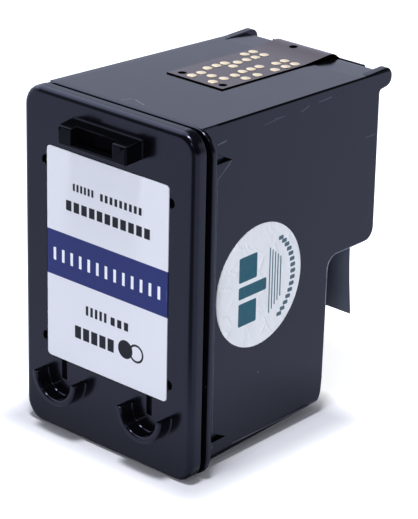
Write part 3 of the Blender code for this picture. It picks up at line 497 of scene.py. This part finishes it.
def polyimideFilm(look):
    # Polyimide film over copper: dark amber-brown with a purple sheen, tracks just showing
    material, tree, shader = startMaterial("polyimide film")
    place = addNode(tree, "ShaderNodeTexCoord")
    tracks = addNode(tree, "ShaderNodeTexWave", {"bands_direction": "X", "wave_profile": "SIN"}, {
        "Vector": place.outputs["Object"],
        "Scale": 0.314 / look["trackPitch"],  # at a scale of 1 a wave is 0.314 long
        "Distortion": 1.2, "Detail": 1.0, "Detail Scale": 0.4})
    edge = addNode(tree, "ShaderNodeMapRange", inputs={
        "Value": tracks.outputs["Fac"], "From Min": look["trackEdge"][0], "From Max": look["trackEdge"][1]})
    bump = addNode(tree, "ShaderNodeBump", inputs={
        "Height": edge.outputs["Result"], "Strength": 0.15, "Distance": look["trackDepth"]})
    # Painted shadow along the film's front and right edges, painted shade round each hole
    low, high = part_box("flex_circuit")
    axes = axesInMm(tree, "X", "Y", (low.x, low.y))
    border, beyond, soft = look["border"], look["beyond"], look["soft"]
    width, length = (high.x - low.x) / mm, (high.y - low.y) / mm
    sheet = roundedBar(tree, axes, -beyond, width - border, border, length + beyond, 0.1, soft)
    outline = addNode(tree, "ShaderNodeMath", {"operation": "SUBTRACT"}, {0: 1.0, 1: sheet})
    edgeAndHoleShade = joined(tree, [outline.outputs["Value"]] + [
        roundDot(tree, axes, *hole, look["holeRim"], soft) for hole in look["holes"]])
    colour = layered(tree, linearColour(look["film"]), [
        (edge.outputs["Result"], look["copper"]), (edgeAndHoleShade, look["paintedFilmShadow"])])
    roughness = addNode(tree, "ShaderNodeMapRange", inputs={
        "Value": edgeAndHoleShade, "To Min": look["roughness"], "To Max": 1.0})
    gloss = addNode(tree, "ShaderNodeMapRange", inputs={"Value": edgeAndHoleShade, "To Min": 0.5, "To Max": 0.0})
    tree.links.new(colour, shader.inputs["Base Color"])
    tree.links.new(roughness.outputs["Result"], shader.inputs["Roughness"])
    tree.links.new(gloss.outputs["Result"], shader.inputs["Specular IOR Level"])
    tree.links.new(bump.outputs["Normal"], shader.inputs["Normal"])
    shader.inputs["IOR"].default_value = look["ior"]
    return material


goldLook = {
    "colour": "fdecca",
    "wipe": 0.5 * mm,  # size of the faint marks of the printer's contacts
    "roughness": (0.52, 0.60),
}


def goldPlate(look):
    # Hard gold plate on copper: pale, softly scattered gloss
    material, tree, shader = startMaterial("gold plate")
    place = addNode(tree, "ShaderNodeTexCoord")
    wipe = addNode(tree, "ShaderNodeTexNoise", inputs={
        "Vector": place.outputs["Object"], "Scale": 1 / look["wipe"], "Detail": 2.0})
    smoothest, roughest = look["roughness"]
    roughness = addNode(tree, "ShaderNodeMapRange", inputs={
        "Value": wipe.outputs["Fac"], "To Min": smoothest, "To Max": roughest})
    tree.links.new(roughness.outputs["Result"], shader.inputs["Roughness"])
    shader.inputs["Base Color"].default_value = linearColour(look["colour"])
    shader.inputs["Metallic"].default_value = 1.0
    return material


def plainFinish(name, colour, roughness, metallic=0.0, grain=0.3 * mm, depth=0.01 * mm, sheen=0.5):
    # For small or hidden pieces: a colour that drifts a little, with a fine grain
    material, tree, shader = startMaterial(name)
    place = addNode(tree, "ShaderNodeTexCoord")
    noise = addNode(tree, "ShaderNodeTexNoise", inputs={
        "Vector": place.outputs["Object"], "Scale": 1 / grain, "Detail": 3.0})
    base = linearColour(colour)
    darker = tuple(0.8 * channel for channel in base[:3]) + (1.0,)
    mixed = addNode(tree, "ShaderNodeMix", {"data_type": "RGBA"}, {
        "Factor": noise.outputs["Fac"], "A": darker, "B": base})
    bump = addNode(tree, "ShaderNodeBump", inputs={
        "Height": noise.outputs["Fac"], "Strength": 0.3, "Distance": depth})
    tree.links.new(mixed.outputs["Result"], shader.inputs["Base Color"])
    tree.links.new(bump.outputs["Normal"], shader.inputs["Normal"])
    shader.inputs["Roughness"].default_value = roughness
    shader.inputs["Metallic"].default_value = metallic
    shader.inputs["Specular IOR Level"].default_value = sheen
    return material


filmMaterial = polyimideFilm(circuitLook)
goldMaterial = goldPlate(goldLook)
# Glossy blue-grey, with slow waves where the tape hangs free
tapeMaterial = plainFinish("tape polyester film", "565b69", 0.22, grain=4 * mm)
# Dark slate, near mirror-smooth
siliconMaterial = plainFinish("silicon polished", "2b2f38", 0.15)
# Warm grey metal with a satin gloss
foilMaterial = plainFinish("nozzle foil nickel", "a8905e", 0.35, 1.0)
# Wet-looking black
epoxyMaterial = plainFinish("epoxy cured", "101114", 0.25, grain=1 * mm)
# Dull and open, dark from the ink
foamMaterial = plainFinish("polyurethane foam", "1d1f24", 0.95, grain=0.5 * mm, depth=0.3 * mm)
# Grey metal, broken up by its fine weave
meshMaterial = plainFinish("stainless steel mesh", "9a9ca0", 0.4, 1.0, grain=0.2 * mm)
# Black with a soft, matt bloom
rubberMaterial = plainFinish("rubber moulded", "1b1c1f", 0.6)
# Painted shade: a black disc without gloss stands for the dark inside of a narrow hole
shadowMaterial = plainFinish("polystyrene in shadow", "020203", 1.0, grain=0.2 * mm, sheen=0.0)
print("small finishes made")


# Pieces

mouldingLook = {
    "bodyEdge": 0.12 * mm,  # radius of the crisp edges
    "lidEdge": 0.11 * mm,
    "crisp": math.radians(40),  # edges that turn more than this are rounded,
    "smooth": math.radians(31),  # and those that turn less than this are shaded smooth
    "flat": math.radians(0.3),  # the CAD's triangles are joined up to this
    "weld": 0.0005 * mm,
}


def dressed(node, name, material, edgeRadius=0.0, shift=(0, 0, 0)):
    # A welded copy of the CAD node, its crisp edges rounded a little, that can be shaded smooth
    look = mouldingLook
    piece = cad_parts[node].copy()
    piece.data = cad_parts[node].data.copy()
    piece.name = name
    piece.data.name = name
    for key in list(piece.keys()):
        del piece[key]
    piece.parent = None
    bpy.context.scene.collection.objects.link(piece)
    shape = bmesh.new()
    shape.from_mesh(piece.data)
    bmesh.ops.remove_doubles(shape, verts=shape.verts, dist=look["weld"])
    bmesh.ops.dissolve_limit(shape, angle_limit=look["flat"], verts=shape.verts, edges=shape.edges)
    if edgeRadius:
        crisp = [edge for edge in shape.edges if len(edge.link_faces) == 2 and edge.is_convex
                 and edge.calc_face_angle() > look["crisp"]]
        bmesh.ops.bevel(
            shape, geom=crisp, affect="EDGES", offset=edgeRadius, segments=3, profile=0.5, material=-1)
    bmesh.ops.translate(shape, verts=shape.verts, vec=shift)
    shape.to_mesh(piece.data)
    shape.free()
    if piece.data.has_custom_normals:
        with bpy.context.temp_override(object=piece, active_object=piece):
            bpy.ops.mesh.customdata_custom_splitnormals_clear()
    piece.data.shade_smooth()
    piece.data.set_sharp_from_angle(angle=look["smooth"])
    piece.data.materials.clear()
    piece.data.materials.append(material)
    weights = piece.modifiers.new("weights", "WEIGHTED_NORMAL")
    weights.keep_sharp = True
    weights.weight = 100
    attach(piece, "root")
    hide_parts(node)
    return piece


def madeObject(name, shape, material):
    # A new object from a finished bmesh
    mesh = bpy.data.meshes.new(name)
    shape.to_mesh(mesh)
    shape.free()
    mesh.materials.append(material)
    made = bpy.data.objects.new(name, mesh)
    bpy.context.scene.collection.objects.link(made)
    return made


dressed("body_shell", "bodyCasing", bodyPlastic, edgeRadius=mouldingLook["bodyEdge"])
dressed("lid", "lidPlate", lidPlastic, edgeRadius=mouldingLook["lidEdge"])
circuitFilm = dressed(
    "flex_circuit", "circuitFilm", filmMaterial, shift=(0, 0, -circuitLook["pressed"]))
dressed("nozzle_tape", "hangingTape", tapeMaterial)
print("casings dressed")

# Contact pads: flat plated discs that lie on the film
padLook = {
    "solid": 0.15 * mm,  # thickness of the CAD's pads
    "glue": 0.1 * mm,  # the CAD leaves this gap under each pad and under the film
    "thickness": 0.07 * mm,
    "edge": 0.03 * mm,
    "smooth": math.radians(50),
}
padNodes = [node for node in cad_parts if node.startswith("contact_pad")]
padShape = bmesh.new()
for node in padNodes:
    low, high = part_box(node)
    radius = (high.x - low.x) / 2
    tilt = math.atan2(high.z - low.z - padLook["solid"], 2 * radius)
    foot = (low.z + high.z - padLook["solid"]) / 2 - padLook["glue"] - circuitLook["pressed"]
    middle = Vector(((low.x + high.x) / 2, (low.y + high.y) / 2, foot + padLook["thickness"] / 2))
    bmesh.ops.create_cone(
        padShape, cap_ends=True, segments=40, radius1=radius, radius2=radius, depth=padLook["thickness"],
        matrix=Matrix.Translation(middle) @ Matrix.Rotation(-tilt, 4, "X"))
padRims = [edge for edge in padShape.edges if any(len(face.verts) > 4 for face in edge.link_faces)]
bmesh.ops.bevel(
    padShape, geom=padRims, affect="EDGES", offset=padLook["edge"], segments=2, profile=0.5, material=-1)
contactField = madeObject("contactField", padShape, goldMaterial)
contactField.data.shade_smooth()
contactField.data.set_sharp_from_angle(angle=padLook["smooth"])
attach(contactField, "root")
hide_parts(*padNodes)
print("contacts placed")

# Registration holes: the film's punched holes lie over blind holes in the plastic;
# a black disc just under the film's top paints the shade in each hole
holeLook = {
    "radius": 0.43 * mm,
    "depth": 0.06 * mm,  # from the film's top to the middle of the dark disc
    "disc": 0.08 * mm,
    "beside": 0.8 * mm,  # the film's height is felt for this far to the right of the hole
}
filmLow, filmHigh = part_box("flex_circuit")
holeShape = bmesh.new()
for across, along in circuitLook["holes"]:
    x, y = filmLow.x + across * mm, filmLow.y + along * mm
    above = Vector((x + holeLook["beside"], y, filmHigh.z + 5 * mm))
    surface, normal = circuitFilm.ray_cast(above, Vector((0, 0, -1)))[1:3]
    lean = Vector((0, 0, 1)).rotation_difference(normal).to_matrix().to_4x4()
    middle = Vector((x, y, surface.z - holeLook["depth"]))
    bmesh.ops.create_cone(
        holeShape, cap_ends=True, segments=32, radius1=holeLook["radius"], radius2=holeLook["radius"],
        depth=holeLook["disc"], matrix=Matrix.Translation(middle) @ lean)
holeShadeDiscs = madeObject("holeShadeDiscs", holeShape, shadowMaterial)
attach(holeShadeDiscs, "root")
print("holes placed")

finishes = {
    "front_label": labelMaterial,
    "side_sticker": stickerMaterial,
    "foam_block": foamMaterial,
    "filter_screen": meshMaterial,
    "printhead_die": siliconMaterial,
    "nozzle_plate": foilMaterial,
    "bond_bead_upper": epoxyMaterial,
    "bond_bead_lower": epoxyMaterial,
    "fill_plug": rubberMaterial,
}
for node, finish in finishes.items():
    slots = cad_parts[node].data.materials
    slots.clear()
    slots.append(finish)
print("nodes finished")


# Floor, light and camera

floorLook = {
    "colour": "f5f6fb",
    "size": 3.0,
    "roughness": 0.8,
    "footBack": 10 * mm,  # the body's foot ends here
    "glow": 0.80,  # what the camera sees added to the lit paper,
    "clearing": 7 * mm,  # rising over this distance from the cartridge
    "rise": 1.7,
    # What the gloss sees: the paper's glow, in the colour of a cool white wall
    "mirrored": "dfe6ff",
    "mirrorGlow": 0.92,
    "paintedNearShadow": (16 * mm, 0.50),  # painted shadow: near the cartridge the mirrored paper dims to this share
    # painted shadow where the paper meets the cartridge
    "paintedContactShadow": (0.45 * mm, 0.2),
    # Towards the camera the paper runs out of the light
    "gapTowards": (0.29, -0.957, 0.0),
    "gapWidth": (0.84, 0.97),
    "gapReach": (45 * mm, 80 * mm),
    "gapGlow": 0.20,
}


def floorPaper(look):
    # Matt white paper under a soft light: white to the camera, with the cartridge's own shadow
    material, tree, shader = startMaterial("floor paper")
    shader.inputs["Base Color"].default_value = linearColour(look["colour"])
    shader.inputs["Roughness"].default_value = look["roughness"]
    place = addNode(tree, "ShaderNodeTexCoord").outputs["Object"]
    rays = addNode(tree, "ShaderNodeLightPath")
    # Distance from the cartridge's foot, for the glow of the lit paper round its shadow
    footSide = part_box("lid")[1].x
    middle, half = (lidFace + look["footBack"]) / 2, (look["footBack"] - lidFace) / 2
    centred = addNode(tree, "ShaderNodeVectorMath", {"operation": "SUBTRACT"}, {0: place, 1: (0, middle, 0)})
    folded = addNode(tree, "ShaderNodeVectorMath", {"operation": "ABSOLUTE"}, {0: centred.outputs["Vector"]})
    beyond = addNode(tree, "ShaderNodeVectorMath", {"operation": "SUBTRACT"}, {
        0: folded.outputs["Vector"], 1: (footSide, half, 1)})
    outside = addNode(tree, "ShaderNodeVectorMath", {"operation": "MAXIMUM"}, {0: beyond.outputs["Vector"]})
    away = addNode(tree, "ShaderNodeVectorMath", {"operation": "LENGTH"}, {0: outside.outputs["Vector"]})
    nearby = addNode(tree, "ShaderNodeMapRange", inputs={
        "Value": away.outputs["Value"], "From Max": look["clearing"]})
    curve = addNode(tree, "ShaderNodeMath", {"operation": "POWER"}, {
        0: nearby.outputs["Result"], 1: look["rise"]})
    clear = addNode(tree, "ShaderNodeMath", {"operation": "MULTIPLY"}, {
        0: curve.outputs["Value"], 1: look["glow"]})
    glow = addNode(tree, "ShaderNodeMath", {"operation": "MULTIPLY"}, {
        0: rays.outputs["Is Camera Ray"], 1: clear.outputs["Value"]})
    shader.inputs["Emission Color"].default_value = (1, 1, 1, 1)
    tree.links.new(glow.outputs["Value"], shader.inputs["Emission Strength"])
    # The gloss sees the paper bright round the cartridge and dim towards the camera,
    # with painted shadow where it meets the cartridge
    outwards = addNode(tree, "ShaderNodeVectorMath", {"operation": "NORMALIZE"}, {0: place})
    towards = addNode(tree, "ShaderNodeVectorMath", {"operation": "DOT_PRODUCT"}, {
        0: outwards.outputs["Vector"], 1: look["gapTowards"]})
    wedge = addNode(tree, "ShaderNodeMapRange", {"interpolation_type": "SMOOTHSTEP"}, {
        "Value": towards.outputs["Value"],
        "From Min": look["gapWidth"][0], "From Max": look["gapWidth"][1]})
    reach = addNode(tree, "ShaderNodeVectorMath", {"operation": "LENGTH"}, {0: place})
    far = addNode(tree, "ShaderNodeMapRange", {"interpolation_type": "SMOOTHSTEP"}, {
        "Value": reach.outputs["Value"],
        "From Min": look["gapReach"][0], "From Max": look["gapReach"][1]})
    gap = addNode(tree, "ShaderNodeMath", {"operation": "MULTIPLY"}, {
        0: wedge.outputs["Result"], 1: far.outputs["Result"]})
    dim = addNode(tree, "ShaderNodeMapRange", inputs={
        "Value": gap.outputs["Value"], "To Min": look["mirrorGlow"], "To Max": look["gapGlow"]})
    seen = dim.outputs["Result"]
    for distance, share in (look["paintedNearShadow"], look["paintedContactShadow"]):
        shade = addNode(tree, "ShaderNodeMapRange", inputs={
            "Value": away.outputs["Value"], "From Max": distance, "To Min": share})
        shaded = addNode(tree, "ShaderNodeMath", {"operation": "MULTIPLY"}, {
            0: seen, 1: shade.outputs["Result"]})
        seen = shaded.outputs["Value"]
    mirrored = addNode(tree, "ShaderNodeEmission", inputs={
        "Color": linearColour(look["mirrored"]), "Strength": seen})
    choice = addNode(tree, "ShaderNodeMixShader", inputs={
        0: rays.outputs["Is Glossy Ray"], 1: shader.outputs["BSDF"], 2: mirrored.outputs["Emission"]})
    tree.links.new(choice.outputs["Shader"], tree.nodes["Material Output"].inputs["Surface"])
    return material


floorShape = bmesh.new()
bmesh.ops.create_grid(floorShape, x_segments=1, y_segments=1, size=floorLook["size"] / 2)
floor = madeObject("floor", floorShape, floorPaper(floorLook))
print("floor laid")

studio = {
    "light": "f6f8ff",  # the lamps are a little cool
    "world": 0.20,
    # What the gloss sees: a white backdrop behind the cartridge, a bright window on the left,
    # and a room that is dark above and behind the camera
    "wall": "dfe6ff",
    "backdropGlow": 0.86,
    "backdropTop": 0.50,  # sine of the angle up to which the backdrop reaches
    "backdropBlur": 0.06,
    "towardsCamera": (0.666, -0.746, 0.0),
    "backdropEnd": (-0.15, 0.10),  # the backdrop fades out between these, towards the camera
    "roomGlow": 0.06,
    "leftBox": (-0.62, 0.05, 0.78),
    "leftGlow": 2.3,
    "leftEdge": (0.80, 0.90),
    # Softboxes: place, width, power. The low one stands for a matt white board, so no gloss shows it
    "softboxes": {
        "topSoftbox": ((0.05, -0.12, 0.69), 0.12, 3.0),
        "cameraSoftbox": ((0.37, -0.71, 0.60), 0.09, 0.4),
        "lowSoftbox": ((0.52, -0.78, 0.11), 0.20, 4.9),
    },
    "lampsAim": (0, 0, 0.03),
}


def studioWorld(look):
    # Plain light on everything, white behind the object, and the studio in the gloss
    world = bpy.data.worlds.new("studio")
    world.use_nodes = True
    tree = world.node_tree
    plain = tree.nodes["Background"]
    plain.inputs["Color"].default_value = linearColour(look["light"])
    plain.inputs["Strength"].default_value = look["world"]
    around = addNode(tree, "ShaderNodeTexCoord").outputs["Generated"]
    rays = addNode(tree, "ShaderNodeLightPath")
    height = addNode(tree, "ShaderNodeSeparateXYZ", inputs={"Vector": around})
    band = addNode(tree, "ShaderNodeMapRange", {"interpolation_type": "SMOOTHSTEP"}, {
        "Value": height.outputs["Z"], "From Min": look["backdropTop"] - look["backdropBlur"],
        "From Max": look["backdropTop"] + look["backdropBlur"], "To Min": 1.0, "To Max": 0.0})
    nearness = addNode(tree, "ShaderNodeVectorMath", {"operation": "DOT_PRODUCT"}, {
        0: around, 1: look["towardsCamera"]})
    behind = addNode(tree, "ShaderNodeMapRange", {"interpolation_type": "SMOOTHSTEP"}, {
        "Value": nearness.outputs["Value"], "From Min": look["backdropEnd"][0],
        "From Max": look["backdropEnd"][1], "To Min": 1.0, "To Max": 0.0})
    backdrop = addNode(tree, "ShaderNodeMath", {"operation": "MULTIPLY"}, {
        0: band.outputs["Result"], 1: behind.outputs["Result"]})
    facing = addNode(tree, "ShaderNodeVectorMath", {"operation": "DOT_PRODUCT"}, {
        0: around, 1: look["leftBox"]})
    window = addNode(tree, "ShaderNodeMapRange", {"interpolation_type": "SMOOTHSTEP"}, {
        "Value": facing.outputs["Value"], "From Min": look["leftEdge"][0],
        "From Max": look["leftEdge"][1], "To Min": look["roomGlow"], "To Max": look["leftGlow"]})
    wall = addNode(tree, "ShaderNodeMath", {"operation": "MULTIPLY_ADD"}, {
        0: backdrop.outputs["Value"], 1: look["backdropGlow"], 2: window.outputs["Result"]})
    glossy = addNode(tree, "ShaderNodeBackground", inputs={
        "Color": linearColour(look["wall"]), "Strength": wall.outputs["Value"]})
    white = addNode(tree, "ShaderNodeBackground", inputs={"Color": (1, 1, 1, 1), "Strength": 1.0})
    inGloss = addNode(tree, "ShaderNodeMixShader", inputs={
        0: rays.outputs["Is Glossy Ray"], 1: plain.outputs["Background"], 2: glossy.outputs["Background"]})
    inView = addNode(tree, "ShaderNodeMixShader", inputs={
        0: rays.outputs["Is Camera Ray"], 1: inGloss.outputs["Shader"], 2: white.outputs["Background"]})
    tree.links.new(inView.outputs["Shader"], tree.nodes["World Output"].inputs["Surface"])
    return world


bpy.context.scene.world = studioWorld(studio)

for name, (spot, width, power) in studio["softboxes"].items():
    lampData = bpy.data.lights.new(name, "AREA")
    lampData.energy = power
    lampData.size = width
    lampData.color = linearColour(studio["light"])[:3]
    lamp = bpy.data.objects.new(name, lampData)
    bpy.context.scene.collection.objects.link(lamp)
    lamp.location = spot
    lamp.visible_glossy = name != "lowSoftbox"
    lamp.rotation_euler = (Vector(studio["lampsAim"]) - lamp.location).to_track_quat("-Z", "Y").to_euler()
print("light set")

cameraSet = {
    "azimuth": 41.75,
    "elevation": 22.55,
    "roll": 1.21,
    "distance": 370.76 * mm,
    "aim": (0, 18 * mm, 24 * mm),  # measured from the lid's face
    "sideways": 2.78 * mm,
    "upwards": 1.30 * mm,
    "lens": 171.58,
}
azimuth, elevation, roll = (math.radians(cameraSet[k]) for k in ("azimuth", "elevation", "roll"))
flat = math.cos(elevation)
back = Vector((math.sin(azimuth) * flat, -math.cos(azimuth) * flat, math.sin(elevation)))
level = Vector((math.cos(azimuth), math.sin(azimuth), 0))
raised = back.cross(level)
right = math.cos(roll) * level + math.sin(roll) * raised
upward = math.cos(roll) * raised - math.sin(roll) * level
aim = Vector(cameraSet["aim"]) + Vector((0, lidFace, 0))
eye = aim + cameraSet["sideways"] * right + cameraSet["upwards"] * upward + cameraSet["distance"] * back
cameraData = bpy.data.cameras.new("camera")
cameraData.sensor_fit = "VERTICAL"
cameraData.sensor_height = 36
cameraData.lens = cameraSet["lens"]
cameraData.clip_start = 0.01
cameraData.clip_end = 10
camera = bpy.data.objects.new("camera", cameraData)
bpy.context.scene.collection.objects.link(camera)
camera.matrix_world = Matrix((
    (right.x, upward.x, back.x, eye.x),
    (right.y, upward.y, back.y, eye.y),
    (right.z, upward.z, back.z, eye.z),
    (0, 0, 0, 1)))
bpy.context.scene.camera = camera
bpy.context.scene.view_settings.view_transform = "Standard"
print("camera set")
